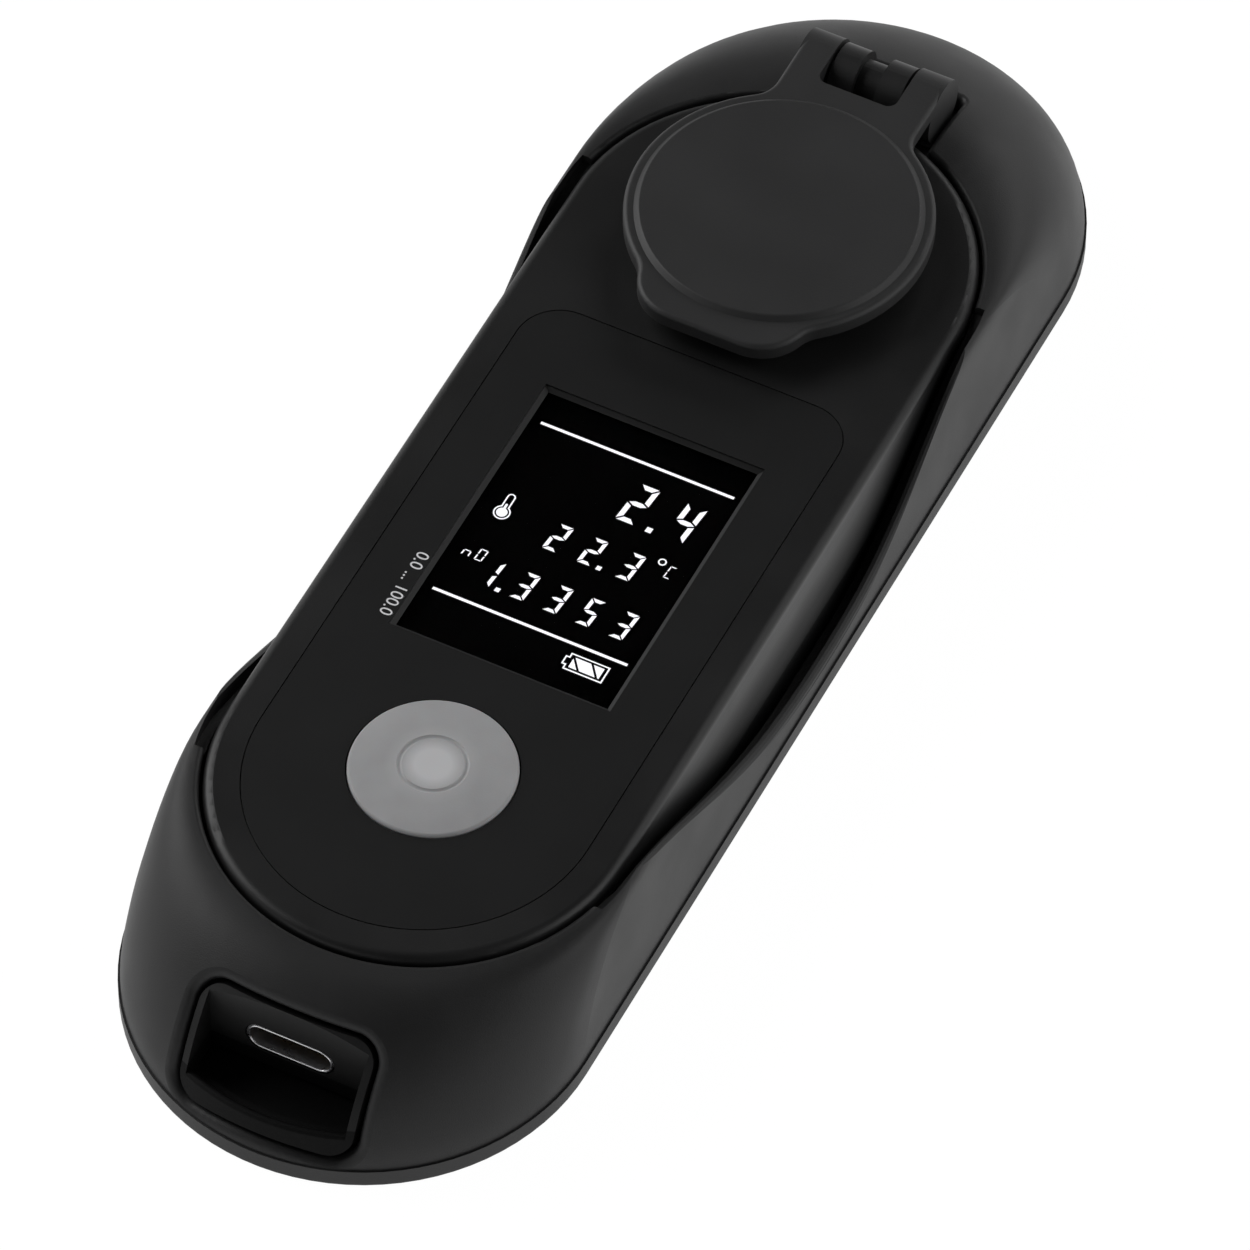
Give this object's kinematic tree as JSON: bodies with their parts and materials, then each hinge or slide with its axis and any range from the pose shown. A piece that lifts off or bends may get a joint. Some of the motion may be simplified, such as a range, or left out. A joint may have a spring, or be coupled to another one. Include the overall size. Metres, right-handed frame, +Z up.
{
  "type": "digital refractometer",
  "caption": "Handheld digital refractometer in a flared rubber boot, with a hinged flip cap over its sample well, a lit display, a round key and a charging port.",
  "frame": {"origin": "middle of the boot's flat base", "axes": "+X across the face, to the right with the cap at the far end, +Y along the face towards the cap's hinge, +Z up out of the face"},
  "size_m": [0.0456, 0.148, 0.0212],
  "materials": {
    "boot_rubber": "soft matt moulded rubber",
    "black_plastic": "fine moulded grain",
    "cap_plastic": "fine moulded grain",
    "film_plastic": "satin printed film",
    "window_clear": "clear hard-coated window",
    "lcd_glass": "gloss",
    "white_plastic": "satin",
    "grey_plastic": "fine matt",
    "port_steel": "plated satin",
    "dish_steel": "turned satin",
    "screw_steel": "plain",
    "seal_rubber": "soft matt",
    "board_laminate": "lacquered laminate",
    "chip_plastic": "moulded",
    "battery_foil": "foil pouch",
    "flex_film": "amber film",
    "prism_glass": "polished",
    "lamp_clear": "clear"
  },
  "bodies": {
    "case": {"rubber_boot": "boot_rubber", "upper_housing": "black_plastic", "lower_housing": "black_plastic", "housing_seal": "seal_rubber", "housing_screws": "screw_steel", "board_screws": "screw_steel", "face_film": "film_plastic", "display_window": "window_clear", "lcd_panel": "lcd_glass", "lcd_backlight": "white_plastic", "display_tray": "black_plastic", "key_switch": "black_plastic", "port_shell": "port_steel", "port_tongue": "black_plastic", "main_board": "board_laminate", "board_components": "chip_plastic", "battery": "battery_foil", "battery_pad": "seal_rubber", "flex_cable": "flex_film", "sample_dish": "dish_steel", "dish_gasket": "seal_rubber", "prism": "prism_glass", "optics_block": "black_plastic", "led": "lamp_clear", "collimator_lens": "prism_glass", "led_board": "board_laminate", "sensor_board": "board_laminate", "image_sensor": "chip_plastic", "temperature_probe": "port_steel", "hinge_pin": "screw_steel"},
    "cap": {"flip_cap": "cap_plastic", "cap_pad": "seal_rubber"},
    "key": {"key_cap": "grey_plastic", "switch_plunger": "white_plastic"}
  },
  "joints": [
    {"name": "cap_hinge", "type": "hinge", "parent": "case", "child": "cap", "pos_m": [0, 0.0554, 0.0174], "axis": [-1, 0, 0], "range_deg": [0, 120]},
    {"name": "key_press", "type": "slide", "parent": "case", "child": "key", "axis": [0, 0, -1], "range_m": [0, 0.0004], "stiffness_N_per_m": 1200}
  ]
}
